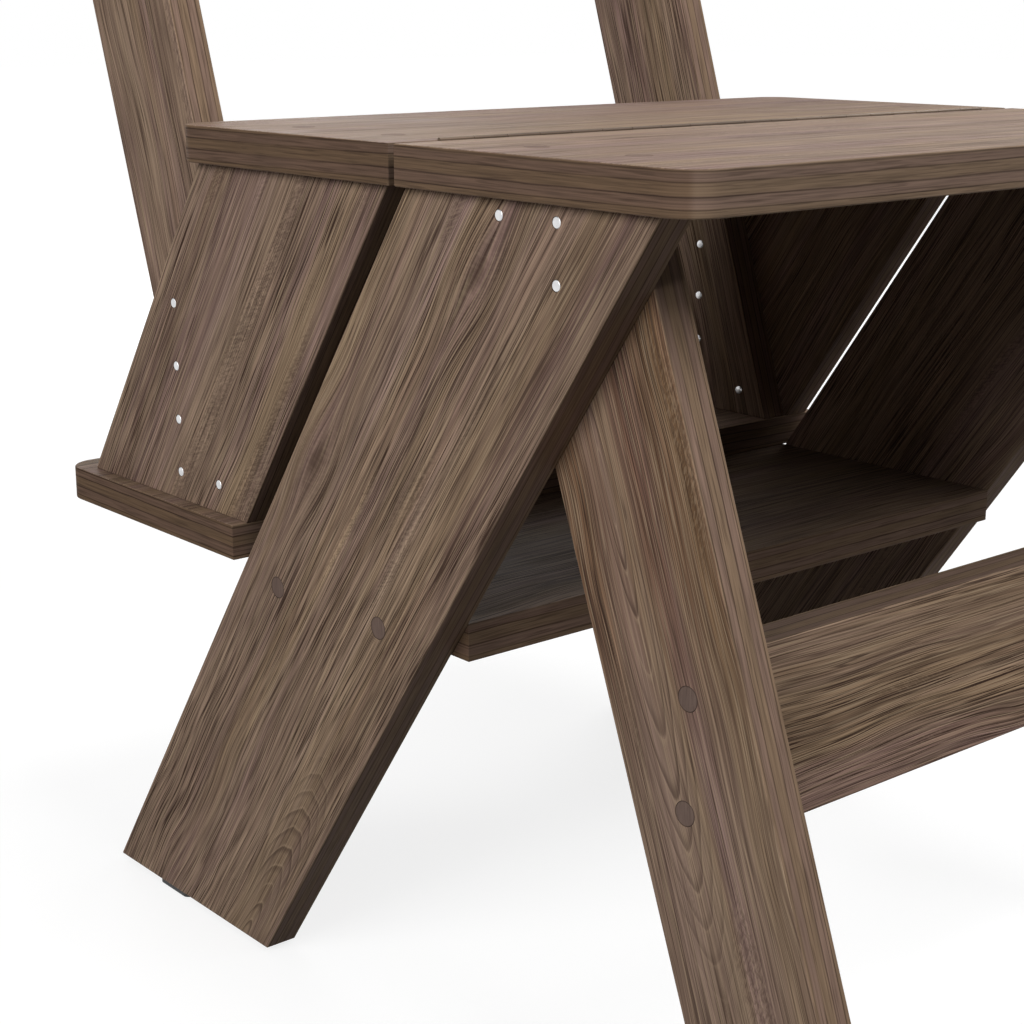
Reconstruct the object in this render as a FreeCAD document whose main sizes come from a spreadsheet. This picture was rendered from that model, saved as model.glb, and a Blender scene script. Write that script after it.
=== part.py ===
import FreeCAD, Part
import os
import Sketcher

# A wooden chair that folds over into a three-step ladder. X runs from left to right, Y from the front
# to the back and Z up. The seat is split in two: the rear half, with the side panels, the back and the
# top step, turns over a hinge along that split onto the front half. Sketches measure depth from the
# split. Each body's placement then moves the origin to the middle of the chair's depth, on the floor.

# Driving sizes, in millimetres, degrees and counts
SIZES = {
    # boards in common
    "board_thickness": 19.0,
    "edge_round": 0.8,
    "cut_overrun": 5.0,
    # seat, in two boards with a gap for the hinge
    "seat_height": 453.0,
    "seat_overhang": 6.5,
    "seat_board_depth": 185.0,
    "seat_gap": 4.2,
    "seat_corner_radius": 16.0,
    # slanted legs and side panels, which lie in one plane
    "frame_width": 441.0,
    "leg_width": 133.5,
    "leg_slant": 35.0,
    "stop_clearance": 0.3,
    # low step between the slanted legs, top step on the rear half
    "low_step_height": 228.5,
    "low_step_rear_overhang": 3.0,
    "step_lift": 0.3,
    "top_step_overhang": 8.5,
    "top_step_rear_overhang": 22.0,
    "top_step_corner_radius": 16.0,
    # front legs and their stretcher
    "front_leg_back": 38.2,
    "front_leg_slant": 20.5,
    "front_leg_top_width": 92.3,
    "front_leg_foot_width": 85.0,
    "stretcher_bottom": 165.4,
    "stretcher_height": 86.0,
    # back posts and back rails
    "post_setback": 2.0,
    "seat_post_gap": 17.0,
    "post_width": 80.0,
    "rail_height": 86.0,
    "rail_drop": 40.0,
    "rail_spacing": 100.0,
    # cleats that hold the rear seat board to the side panels
    "cleat_height": 38.0,
    "cleat_inset": 20.0,
    "cleat_post_gap": 10.0,
    # glides under the feet
    "glide_height": 3.0,
    "glide_length": 32.0,
    "glide_width": 16.5,
    "glide_corner_radius": 4.0,
    "rear_glide_inset": 43.5,
    # steel pins through legs, panels and posts
    "pin_diameter": 5.3,
    "pin_proud": 1.0,
    "pin_dome_radius": 0.8,
    "leg_pin_drop": 7.8,
    "leg_pin_row_gap": 26.0,
    # wood screws and the wood plugs over them
    "fit_clearance": 0.05,
    "screw_clearance": 0.3,
    "screw_diameter": 4.0,
    "screw_head_diameter": 8.0,
    "screw_head_height": 2.6,
    "screw_length": 44.0,
    "screw_tip_room": 1.0,
    "cleat_screw_length": 30.0,
    "plug_diameter": 11.5,
    "plug_length": 6.0,
    # piano hinge along the split
    "hinge_rise": 0.2,
    "hinge_end_gap": 27.0,
    "knuckle_pairs": 10,
    "knuckle_side_room": 1.0,
    "knuckle_gap": 0.3,
    "knuckle_notch_room": 0.4,
    "hinge_pin_diameter": 1.0,
    "hinge_running_clearance": 0.05,
    "leaf_thickness": 1.3,
    "leaf_height": 15.0,
    "hinge_screw_count": 8,
    "hinge_screw_end": 25.0,
    "hinge_screw_drop": 9.0,
    "hinge_screw_diameter": 2.2,
    "hinge_screw_head_diameter": 4.0,
    "hinge_screw_head_height": 0.5,
    "hinge_screw_length": 14.0,
}

doc = FreeCAD.newDocument("step_chair")
sheet = doc.addObject("Spreadsheet::Sheet", "sizes")
for row, (size_name, size_value) in enumerate(SIZES.items(), start=1):
    sheet.set(f"A{row}", size_name)
    sheet.set(f"B{row}", str(size_value))
    sheet.setAlias(f"B{row}", size_name)
doc.recompute()

# Levels and depths that several pieces share, as expressions on the sheet
BOARD = "sizes.board_thickness"
SPLIT = "(sizes.seat_gap / 2)"
SEAT_TOP = "sizes.seat_height"
SEAT_UNDER = "(sizes.seat_height - sizes.board_thickness)"
SEAT_WIDTH = "(sizes.frame_width + 2 * sizes.seat_overhang)"
SEAT_FAR_EDGE = f"({SPLIT} + sizes.seat_board_depth)"
FOOT = "sizes.glide_height"
AXIS_HEIGHT = "(sizes.seat_height + sizes.hinge_rise)"
LOW_STEP_TOP = "sizes.low_step_height"
LOW_STEP_UNDER = "(sizes.low_step_height - sizes.board_thickness)"
LOW_STEP_MIDDLE = "(sizes.low_step_height - sizes.board_thickness / 2)"
TOP_STEP_UNDER = "(sizes.low_step_height + sizes.step_lift)"
TOP_STEP_TOP = f"({TOP_STEP_UNDER} + sizes.board_thickness)"
POST_TOP = f"(2 * {AXIS_HEIGHT})"
CLEAT_UNDER = f"({SEAT_UNDER} - sizes.cleat_height)"
STRETCHER_MIDDLE = "(sizes.stretcher_bottom + sizes.stretcher_height / 2)"
FRAME_OUT = "(sizes.frame_width / 2)"
FRAME_IN = "(sizes.frame_width / 2 - sizes.board_thickness)"
INNER_IN = "(sizes.frame_width / 2 - 2 * sizes.board_thickness)"
INNER_MIDDLE = "(sizes.frame_width / 2 - 1.5 * sizes.board_thickness)"
FRAME_MIDDLE = "(sizes.frame_width / 2 - 0.5 * sizes.board_thickness)"
LEG_LEVEL_WIDTH = "(sizes.leg_width / cos(sizes.leg_slant))"
PIN_HOLE = "(sizes.pin_diameter + 2 * sizes.fit_clearance)"
PLUG_HOLE = "(sizes.plug_diameter + 2 * sizes.fit_clearance)"
PLUG_HOLE_DEPTH = "(sizes.plug_length + sizes.screw_head_height)"
HEAD_HOLE = "(sizes.screw_head_diameter + 2 * sizes.screw_clearance)"
PILOT_HOLE = "(sizes.screw_diameter + 2 * sizes.fit_clearance)"
SHANK_HOLE = "(sizes.screw_diameter + 2 * sizes.screw_clearance)"
PILOT_DEPTH = f"(sizes.screw_length - {BOARD} + {PLUG_HOLE_DEPTH} + sizes.screw_tip_room)"
SIDES = {"left": -1, "right": 1}


def leg_rear(level):
    """Depth of a slanted leg's rear edge at a level."""
    return f"(({SEAT_UNDER} - {level}) * tan(sizes.leg_slant) - {SPLIT})"


def leg_front(level):
    return f"({leg_rear(level)} - {LEG_LEVEL_WIDTH})"


def panel_front(level):
    """Depth of a side panel's front edge, one step thickness along the slant behind the leg."""
    return f"({leg_rear(level)} + {BOARD} * tan(sizes.leg_slant) + sizes.stop_clearance)"


def panel_rear(level):
    return f"({panel_front(level)} + {LEG_LEVEL_WIDTH})"


TOP_STEP_FRONT = panel_front(TOP_STEP_TOP)
TOP_STEP_REAR = f"({TOP_STEP_FRONT} + {LEG_LEVEL_WIDTH} + sizes.top_step_rear_overhang)"
TOP_STEP_WIDTH = "(sizes.frame_width + 2 * sizes.top_step_overhang)"

# Back posts lean from just behind the top step's front edge to just behind the rear seat board
POST_AT_STEP = f"({TOP_STEP_FRONT} + sizes.post_setback)"
POST_AT_SEAT = f"({SEAT_FAR_EDGE} + sizes.seat_post_gap)"
POST_LEAN = f"(({POST_AT_SEAT} - {POST_AT_STEP}) / ({SEAT_UNDER} - {TOP_STEP_TOP}))"
POST_SLANT = f"atan({POST_LEAN})"
POST_LEVEL_WIDTH = f"(sizes.post_width / cos({POST_SLANT}))"


def post_front(level):
    """Depth of a back post's front edge at a level."""
    return f"({POST_AT_SEAT} + ({level} - {SEAT_UNDER}) * {POST_LEAN})"


def post_rear(level):
    return f"({post_front(level)} + {POST_LEVEL_WIDTH})"


def front_leg_rear(level):
    """Depth of a front leg's rear edge at a level."""
    return f"(-sizes.front_leg_back - ({SEAT_UNDER} - {level}) * tan(sizes.front_leg_slant))"


def front_leg_width(level):
    """Level width of a front leg, which narrows towards its foot."""
    rise_share = f"({level} - {FOOT}) / ({SEAT_UNDER} - {FOOT})"
    taper = "(sizes.front_leg_top_width - sizes.front_leg_foot_width)"
    return f"(sizes.front_leg_foot_width + {taper} * {rise_share})"


def front_leg_front(level):
    return f"({front_leg_rear(level)} - {front_leg_width(level)})"


# Depth of the whole chair's middle, from the front feet to the tops of the posts
CHAIR_MIDDLE = f"(({post_rear(POST_TOP)} + {front_leg_front(FOOT)}) / 2)"
UPRIGHT_SHARE = 0.999


def new_body(label):
    """Body for one node, which may hold several like solids."""
    body = doc.addObject("PartDesign::Body", label)
    body.Label = label
    body.AllowCompound = True
    body.setExpression("Placement.Base.y", f"-{CHAIR_MIDDLE}")
    return body


def between(start, end, share):
    """Place at a share of the way from one place to another."""
    return f"({start} + {share} * ({end} - {start}))"


def new_sketch(body, role, offset):
    """Sketch on one of the body's own planes, moved along the plane's normal."""
    plane = next(feature for feature in body.Origin.OriginFeatures if feature.Role == role)
    sketch = body.newObject("Sketcher::SketchObject", f"{body.Name}_sketch")
    sketch.AttachmentSupport = [(plane, "")]
    sketch.MapMode = "FlatFace"
    sketch.setExpression("AttachmentOffset.Base.z", offset)
    return sketch


def point(place):
    """Present position of a pair of expressions, as a start for the sketch solver."""
    across, along = (float(sheet.evalExpression(expression)) for expression in place)
    return FreeCAD.Vector(across, along, 0)


def hold_point(sketch, geometry, vertex, place):
    """Ties a sketch point to the sheet by its two distances from the origin."""
    start = point(place)
    for kind, value, expression in (("DistanceX", start.x, place[0]), ("DistanceY", start.y, place[1])):
        constraint = sketch.addConstraint(Sketcher.Constraint(kind, -1, 1, geometry, vertex, value))
        sketch.setExpression(f"Constraints[{constraint}]", expression)


def draw_polygon(sketch, corners):
    starts = [point(corner) for corner in corners]
    count = len(corners)
    for index in range(count):
        sketch.addGeometry(Part.LineSegment(starts[index], starts[(index + 1) % count]))
    for index in range(count):
        sketch.addConstraint(Sketcher.Constraint("Coincident", index, 2, (index + 1) % count, 1))
        hold_point(sketch, index, 1, corners[index])


def draw_circles(sketch, centres, diameter):
    width = float(sheet.evalExpression(diameter))
    for centre in centres:
        circle = sketch.addGeometry(Part.Circle(point(centre), FreeCAD.Vector(0, 0, 1), width / 2))
        hold_point(sketch, circle, 3, centre)
        constraint = sketch.addConstraint(Sketcher.Constraint("Diameter", circle, width))
        sketch.setExpression(f"Constraints[{constraint}]", diameter)


def pad(body, sketch, length, along=True):
    """Adds material from a sketch, along its normal or against it."""
    feature = body.newObject("PartDesign::Pad", f"{body.Name}_pad")
    feature.Profile = sketch
    feature.setExpression("Length", length)
    feature.Reversed = not along
    doc.recompute()
    return feature


def pocket(body, sketch, length, along):
    """Cuts from a sketch, and makes sure that something was cut."""
    volume = body.Shape.Volume
    feature = body.newObject("PartDesign::Pocket", f"{body.Name}_pocket")
    feature.Profile = sketch
    feature.setExpression("Length", length)
    feature.Reversed = along
    doc.recompute()
    if not body.Shape.Volume < volume:
        raise ValueError(f"{feature.Name} cuts nothing")
    return feature


def pattern(body, features, count, length):
    """Repeats features along X, over a length from the first copy to the last."""
    feature = body.newObject("PartDesign::LinearPattern", f"{body.Name}_pattern")
    feature.Originals = features
    axis = next(origin for origin in body.Origin.OriginFeatures if origin.Role == "X_Axis")
    feature.Direction = (axis, [""])
    feature.setExpression("Length", length)
    feature.setExpression("Occurrences", count)
    body.Tip = feature
    doc.recompute()


def round_edges(body, radius, chosen):
    """Rounds the edges of the body that the test picks."""
    base = body.Tip
    names = [f"Edge{index}" for index, edge in enumerate(base.Shape.Edges, start=1) if chosen(edge)]
    fillet = body.newObject("PartDesign::Fillet", f"{body.Name}_round")
    fillet.Base = (base, names)
    fillet.setExpression("Radius", radius)
    doc.recompute()


def is_upright(edge):
    return abs(edge.tangentAt(edge.FirstParameter).z) > UPRIGHT_SHARE


def drill(body, role, offset, centres, diameter, depth, along):
    sketch = new_sketch(body, role, offset)
    draw_circles(sketch, centres, diameter)
    return pocket(body, sketch, depth, along)


def add_rods(body, role, offset, centres, diameter, length, along):
    sketch = new_sketch(body, role, offset)
    draw_circles(sketch, centres, diameter)
    return pad(body, sketch, length, along)


def sided(sign, distance):
    """Distance from the middle plane, as a place on the left or the right side."""
    return f"({sign} * {distance})"


def side_board(label, sign, inner, corners):
    """Upright board on one side, drawn from the side, with its arrises softened."""
    body = new_body(label)
    start = f"({inner} + ({sign} - 1) / 2 * (2 * {inner} + {BOARD}))"
    sketch = new_sketch(body, "YZ_Plane", start)
    draw_polygon(sketch, corners)
    pad(body, sketch, BOARD)
    round_edges(body, "sizes.edge_round", lambda edge: True)
    return body


def level_board(label, underside, width, front, rear, rounded_depth=None, corner_radius=None):
    """Level board across the chair, with two rounded corners at one of its depths."""
    body = new_body(label)
    sketch = new_sketch(body, "XY_Plane", underside)
    half = f"({width} / 2)"
    draw_polygon(sketch, [(f"-{half}", front), (half, front), (half, rear), (f"-{half}", rear)])
    pad(body, sketch, BOARD)
    if rounded_depth:
        depth = float(sheet.evalExpression(rounded_depth))
        near = float(sheet.evalExpression("sizes.edge_round"))
        round_edges(body, corner_radius,
                    lambda edge: is_upright(edge) and abs(edge.CenterOfMass.y - depth) < near)
    round_edges(body, "sizes.edge_round", lambda edge: not is_upright(edge))
    return body


def cross_board(label, corners):
    """Board between the two inner legs or posts, drawn from the side."""
    body = new_body(label)
    sketch = new_sketch(body, "YZ_Plane", f"-{INNER_IN}")
    draw_polygon(sketch, corners)
    pad(body, sketch, f"(2 * {INNER_IN})")
    round_edges(body, "sizes.edge_round", lambda edge: True)
    return body


def drill_for_plug(body, role, face, centres, along):
    """Counterbore for a plug and a screw head, and the hole for the screw's shank below it."""
    drill(body, role, face, centres, PLUG_HOLE, PLUG_HOLE_DEPTH, along)
    drill(body, role, face, centres, SHANK_HOLE, BOARD, along)


def add_screws(body, role, face, way, centres, length, along):
    """Round-headed screws, with the tops of their heads on a face. The way is the sign of the drive."""
    neck = f"({face} + {way} * sizes.screw_head_height)"
    add_rods(body, role, face, centres, "sizes.screw_head_diameter", "sizes.screw_head_height", along)
    add_rods(body, role, neck, centres, "sizes.screw_diameter", length, along)


def plugged_screws(name, role, faces, centres_by_side, drives):
    """One node of screws and one of plugs, for the places on both sides."""
    screws = new_body(f"{name}_screws")
    plugs = new_body(f"{name}_plugs")
    for side, face in faces.items():
        centres = centres_by_side[side]
        way = drives[side]
        head_top = f"({face} + {way} * sizes.plug_length)"
        add_screws(screws, role, head_top, way, centres, "sizes.screw_length", way > 0)
        add_rods(plugs, role, face, centres, "sizes.plug_diameter", "sizes.plug_length", way > 0)


# Slanted legs, which carry the low step and, through the front legs, the front seat board
LEG_PIN_SHARES = (0.31, 0.71)
LOW_STEP_SCREW_SHARES = (0.245, 0.785)
leg_pin_row = f"({SEAT_UNDER} - sizes.leg_pin_drop)"
leg_pin_first, leg_pin_second = (
    between(front_leg_rear(SEAT_UNDER), front_leg_front(SEAT_UNDER), share) for share in LEG_PIN_SHARES
)
leg_pin_places = [
    (leg_pin_first, leg_pin_row),
    (leg_pin_second, leg_pin_row),
    (leg_pin_second, f"({leg_pin_row} - sizes.leg_pin_row_gap)"),
]
low_step_places = [
    (between(leg_front(LOW_STEP_MIDDLE), leg_rear(LOW_STEP_MIDDLE), share), LOW_STEP_MIDDLE)
    for share in LOW_STEP_SCREW_SHARES
]
leg_corners = [
    (leg_front(FOOT), FOOT),
    (leg_rear(FOOT), FOOT),
    (leg_rear(SEAT_UNDER), SEAT_UNDER),
    (leg_front(SEAT_UNDER), SEAT_UNDER),
]
for side, sign in SIDES.items():
    leg = side_board(f"{side}_slanted_leg", sign, FRAME_IN, leg_corners)
    outer_face = sided(sign, FRAME_OUT)
    drill(leg, "YZ_Plane", outer_face, leg_pin_places, PIN_HOLE, BOARD, sign < 0)
    drill_for_plug(leg, "YZ_Plane", outer_face, low_step_places, sign < 0)

# Low step, flush with the slanted legs' front edges at its top face and screwed through the legs. At the
# rear it reaches a little way under the top step
low_step_rear = f"({leg_rear(LOW_STEP_TOP)} + sizes.low_step_rear_overhang)"
low_step = level_board(
    "low_step", LOW_STEP_UNDER, f"(2 * {FRAME_IN})", leg_front(LOW_STEP_TOP), low_step_rear)
for sign in SIDES.values():
    drill(low_step, "YZ_Plane", sided(sign, FRAME_IN), low_step_places, PILOT_HOLE, PILOT_DEPTH, sign < 0)
plugged_screws(
    "low_step", "YZ_Plane",
    {side: sided(sign, FRAME_OUT) for side, sign in SIDES.items()},
    {side: low_step_places for side in SIDES},
    {side: -sign for side, sign in SIDES.items()})

# Front legs, pinned to the inside of the slanted legs
STRETCHER_SCREW_SHARES = (0.18, 0.78)
FRONT_SEAT_SCREW_SHARES = (0.22, 0.91)
stretcher_centre = f"({front_leg_rear(STRETCHER_MIDDLE)} - {front_leg_width(STRETCHER_MIDDLE)} / 2)"
stretcher_top = "(sizes.stretcher_bottom + sizes.stretcher_height)"
stretcher_places = [
    (stretcher_centre, between("sizes.stretcher_bottom", stretcher_top, share))
    for share in STRETCHER_SCREW_SHARES
]
front_seat_screw_depths = [
    between(front_leg_rear(SEAT_UNDER), front_leg_front(SEAT_UNDER), share)
    for share in FRONT_SEAT_SCREW_SHARES
]
front_leg_corners = [
    (front_leg_front(FOOT), FOOT),
    (front_leg_rear(FOOT), FOOT),
    (front_leg_rear(SEAT_UNDER), SEAT_UNDER),
    (front_leg_front(SEAT_UNDER), SEAT_UNDER),
]
for side, sign in SIDES.items():
    front_leg = side_board(f"{side}_front_leg", sign, INNER_IN, front_leg_corners)
    outer_face = sided(sign, FRAME_IN)
    seat_screw_line = sided(sign, INNER_MIDDLE)
    drill(front_leg, "YZ_Plane", outer_face, leg_pin_places, PIN_HOLE, BOARD, sign < 0)
    drill_for_plug(front_leg, "YZ_Plane", outer_face, stretcher_places, sign < 0)
    seat_screw_places = [(seat_screw_line, depth) for depth in front_seat_screw_depths]
    drill(front_leg, "XY_Plane", SEAT_UNDER, seat_screw_places, PILOT_HOLE, PILOT_DEPTH, False)

# Stretcher between the front legs
stretcher_front = f"({stretcher_centre} - {BOARD} / 2)"
stretcher_rear = f"({stretcher_centre} + {BOARD} / 2)"
stretcher = cross_board("front_stretcher", [
    (stretcher_front, "sizes.stretcher_bottom"),
    (stretcher_rear, "sizes.stretcher_bottom"),
    (stretcher_rear, stretcher_top),
    (stretcher_front, stretcher_top),
])
for sign in SIDES.values():
    drill(stretcher, "YZ_Plane", sided(sign, INNER_IN), stretcher_places, PILOT_HOLE, PILOT_DEPTH, sign < 0)
plugged_screws(
    "stretcher", "YZ_Plane",
    {side: sided(sign, FRAME_IN) for side, sign in SIDES.items()},
    {side: stretcher_places for side in SIDES},
    {side: -sign for side, sign in SIDES.items()})


def side_pins(label, places):
    """Steel pins through two boards, flush outside and domed where they stand proud inside."""
    pins = new_body(label)
    length = f"(2 * {BOARD} + sizes.pin_proud)"
    for sign in SIDES.values():
        add_rods(pins, "YZ_Plane", sided(sign, FRAME_OUT), places, "sizes.pin_diameter", length, sign < 0)
    inner_face = float(sheet.evalExpression(INNER_IN))

    def is_inner_rim(edge):
        return len(edge.Vertexes) == 1 and abs(edge.CenterOfMass.x) < inner_face

    round_edges(pins, "sizes.pin_dome_radius", is_inner_rim)


side_pins("leg_pins", leg_pin_places)

# Seat boards, screwed down to the front legs and to the cleats
REAR_SEAT_SCREW_SHARES = (0.11, 0.72)
cleat_rear = (
    f"min({panel_rear(SEAT_UNDER)} - sizes.cleat_inset; {post_front(CLEAT_UNDER)} - sizes.cleat_post_gap)"
)


def cleat_front(level):
    return f"({panel_front(level)} + sizes.cleat_inset)"


rear_seat_screw_depths = [
    between(cleat_front(SEAT_UNDER), cleat_rear, share) for share in REAR_SEAT_SCREW_SHARES
]
hinge_length = f"({SEAT_WIDTH} - 2 * sizes.hinge_end_gap)"
hinge_start = f"(-{hinge_length} / 2)"
hinge_screw_row = f"({AXIS_HEIGHT} - sizes.hinge_screw_drop)"
hinge_screw_start = f"({hinge_start} + sizes.hinge_screw_end)"
first_hinge_screw = [(hinge_screw_start, hinge_screw_row)]
hinge_screw_run = f"({hinge_length} - 2 * sizes.hinge_screw_end)"
hinge_pilot = "(sizes.hinge_screw_diameter + 2 * sizes.fit_clearance)"
hinge_pilot_depth = "(sizes.hinge_screw_length + sizes.screw_tip_room)"


def seat_board(half, front, rear, far_edge, screw_depths, hinge_way):
    """Seat board of one half, with its screws, plugs and the pilot holes for its hinge leaf."""
    board = level_board(f"{half}_seat_board", SEAT_UNDER, SEAT_WIDTH, front, rear,
                        far_edge, "sizes.seat_corner_radius")
    places = [(sided(sign, INNER_MIDDLE), depth) for sign in SIDES.values() for depth in screw_depths]
    drill_for_plug(board, "XY_Plane", SEAT_TOP, places, False)
    first_pilot = drill(board, "XZ_Plane", f"({-hinge_way} * {SPLIT})", first_hinge_screw,
                        hinge_pilot, hinge_pilot_depth, hinge_way < 0)
    pattern(board, [first_pilot], "sizes.hinge_screw_count", hinge_screw_run)
    plugged_screws(f"{half}_seat", "XY_Plane", {"both": SEAT_TOP}, {"both": places}, {"both": -1})


seat_board("front", f"-{SEAT_FAR_EDGE}", f"-{SPLIT}", f"-{SEAT_FAR_EDGE}", front_seat_screw_depths, -1)
seat_board("rear", SPLIT, SEAT_FAR_EDGE, SEAT_FAR_EDGE, rear_seat_screw_depths, 1)

# Piano hinge in the split: two leaves on the seat boards' edges, with knuckles that take turns on a pin
knuckle_diameter = "(sizes.seat_gap - 2 * sizes.knuckle_side_room)"
knuckle_pitch = f"({hinge_length} / sizes.knuckle_pairs)"
knuckle_length = f"({knuckle_pitch} / 2 - sizes.knuckle_gap)"
knuckle_run = f"({hinge_length} - {knuckle_pitch})"
knuckle_bore = "(sizes.hinge_pin_diameter + 2 * sizes.hinge_running_clearance)"
notch_floor = f"({AXIS_HEIGHT} - {knuckle_diameter} / 2 - sizes.knuckle_notch_room)"
leaf_foot = f"({AXIS_HEIGHT} - sizes.leaf_height)"
axis_place = [("0", AXIS_HEIGHT)]


def upright_strip(outer, inner, foot, top):
    return [(outer, foot), (inner, foot), (inner, top), (outer, top)]


def hinge_leaf(half, way, own_shift, other_shift):
    """Leaf of one half. The shifts are where its own and the other leaf's first knuckles start."""
    outer = f"({way} * {SPLIT})"
    inner = f"({way} * ({SPLIT} - sizes.leaf_thickness))"
    leaf = new_body(f"{half}_hinge_leaf")
    plate = new_sketch(leaf, "YZ_Plane", hinge_start)
    draw_polygon(plate, upright_strip(outer, inner, leaf_foot, SEAT_TOP))
    pad(leaf, plate, hinge_length)
    notch = new_sketch(leaf, "YZ_Plane", f"({hinge_start} + {other_shift} - sizes.knuckle_gap / 2)")
    notch_top = f"({AXIS_HEIGHT} + sizes.cut_overrun)"
    draw_polygon(notch, upright_strip(outer, inner, notch_floor, notch_top))
    first_notch = pocket(leaf, notch, f"({knuckle_pitch} / 2)", True)
    pattern(leaf, [first_notch], "sizes.knuckle_pairs", knuckle_run)
    first_knuckle = add_rods(leaf, "YZ_Plane", f"({hinge_start} + {own_shift})", axis_place,
                             knuckle_diameter, knuckle_length, True)
    pattern(leaf, [first_knuckle], "sizes.knuckle_pairs", knuckle_run)
    drill(leaf, "YZ_Plane", hinge_start, axis_place, knuckle_bore, hinge_length, True)
    first_hole = drill(leaf, "XZ_Plane", f"({-way} * {SPLIT})", first_hinge_screw,
                       hinge_pilot, "sizes.leaf_thickness", way > 0)
    pattern(leaf, [first_hole], "sizes.hinge_screw_count", hinge_screw_run)
    screws = new_body(f"{half}_hinge_screws")
    leaf_face = f"({-way} * ({SPLIT} - sizes.leaf_thickness))"
    shank_length = "(sizes.hinge_screw_length + sizes.leaf_thickness)"
    head = add_rods(screws, "XZ_Plane", leaf_face, first_hinge_screw,
                    "sizes.hinge_screw_head_diameter", "sizes.hinge_screw_head_height", way > 0)
    shank = add_rods(screws, "XZ_Plane", leaf_face, first_hinge_screw,
                     "sizes.hinge_screw_diameter", shank_length, way < 0)
    pattern(screws, [head, shank], "sizes.hinge_screw_count", hinge_screw_run)


own_first = "(sizes.knuckle_gap / 2)"
own_second = f"({knuckle_pitch} / 2 + sizes.knuckle_gap / 2)"
hinge_leaf("front", -1, own_first, own_second)
hinge_leaf("rear", 1, own_second, own_first)
hinge_pin = new_body("hinge_pin")
add_rods(hinge_pin, "YZ_Plane", hinge_start, axis_place, "sizes.hinge_pin_diameter", hinge_length, True)

# Side panels of the rear half, parallel to the slanted legs and standing on the top step
POST_PIN_RISE_SHARES = (0.085, 0.243, 0.402, 0.586)
PIN_COLUMN_SHARE = 0.5625
INNER_PIN_SHARE = 0.326
TOP_STEP_SCREW_SHARES = (0.22, 0.78)
CLEAT_SCREW_SHARES = (0.25, 0.88)
post_pin_levels = [between(TOP_STEP_TOP, SEAT_UNDER, share) for share in POST_PIN_RISE_SHARES]
lowest_pin = post_pin_levels[0]
highest_pin = post_pin_levels[-1]
pin_column = between(post_front(highest_pin), panel_rear(highest_pin), PIN_COLUMN_SHARE)
inner_pin = between(post_front(lowest_pin), pin_column, INNER_PIN_SHARE)
post_pin_places = [(inner_pin, lowest_pin)] + [(pin_column, level) for level in post_pin_levels]
top_step_screw_depths = [
    between(panel_front(TOP_STEP_TOP), panel_rear(TOP_STEP_TOP), share) for share in TOP_STEP_SCREW_SHARES
]
cleat_middle = f"({SEAT_UNDER} - sizes.cleat_height / 2)"
cleat_screw_places = [
    (between(cleat_front(cleat_middle), cleat_rear, share), cleat_middle) for share in CLEAT_SCREW_SHARES
]
cleat_pilot_depth = f"(sizes.cleat_screw_length + sizes.screw_head_height - {BOARD} + sizes.screw_tip_room)"
panel_corners = [
    (panel_front(TOP_STEP_TOP), TOP_STEP_TOP),
    (panel_rear(TOP_STEP_TOP), TOP_STEP_TOP),
    (panel_rear(SEAT_UNDER), SEAT_UNDER),
    (panel_front(SEAT_UNDER), SEAT_UNDER),
]
for side, sign in SIDES.items():
    panel = side_board(f"{side}_side_panel", sign, FRAME_IN, panel_corners)
    step_screw_line = sided(sign, FRAME_MIDDLE)
    step_screw_places = [(step_screw_line, depth) for depth in top_step_screw_depths]
    drill(panel, "YZ_Plane", sided(sign, FRAME_OUT), post_pin_places, PIN_HOLE, BOARD, sign < 0)
    drill(panel, "XY_Plane", TOP_STEP_TOP, step_screw_places, PILOT_HOLE, PILOT_DEPTH, True)
    drill(panel, "YZ_Plane", sided(sign, FRAME_IN), cleat_screw_places,
          PILOT_HOLE, cleat_pilot_depth, sign > 0)

# Cleats on the panels' inner faces, under the rear seat board
cleat_corners = [
    (cleat_front(CLEAT_UNDER), CLEAT_UNDER),
    (cleat_rear, CLEAT_UNDER),
    (cleat_rear, SEAT_UNDER),
    (cleat_front(SEAT_UNDER), SEAT_UNDER),
]
cleat_screws = new_body("cleat_screws")
for side, sign in SIDES.items():
    cleat = side_board(f"{side}_seat_cleat", sign, INNER_IN, cleat_corners)
    inner_face = sided(sign, INNER_IN)
    seat_screw_line = sided(sign, INNER_MIDDLE)
    drill(cleat, "YZ_Plane", inner_face, cleat_screw_places, HEAD_HOLE, "sizes.screw_head_height", sign > 0)
    drill(cleat, "YZ_Plane", inner_face, cleat_screw_places, SHANK_HOLE, BOARD, sign > 0)
    seat_screw_places = [(seat_screw_line, depth) for depth in rear_seat_screw_depths]
    drill(cleat, "XY_Plane", SEAT_UNDER, seat_screw_places, PILOT_HOLE, PILOT_DEPTH, False)
    add_screws(cleat_screws, "YZ_Plane", inner_face, sign, cleat_screw_places,
               "sizes.cleat_screw_length", sign > 0)

# Top step, which the panels and posts stand on and which is screwed to the panels from below
top_step = level_board("top_step", TOP_STEP_UNDER, TOP_STEP_WIDTH, TOP_STEP_FRONT, TOP_STEP_REAR,
                       TOP_STEP_REAR, "sizes.top_step_corner_radius")
top_step_places = [
    (sided(sign, FRAME_MIDDLE), depth)
    for sign in SIDES.values()
    for depth in top_step_screw_depths
]
drill_for_plug(top_step, "XY_Plane", TOP_STEP_UNDER, top_step_places, True)
plugged_screws("top_step", "XY_Plane", {"both": TOP_STEP_UNDER}, {"both": top_step_places}, {"both": 1})

# Back posts, pinned to the inside of the panels. Turned over, their tops stand on the floor
rail_run = f"(sizes.rail_height * cos({POST_SLANT}))"
rail_tops = {
    "upper": f"({POST_TOP} - sizes.rail_drop)",
    "lower": f"({POST_TOP} - sizes.rail_drop - {rail_run} - sizes.rail_spacing)",
}


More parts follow.
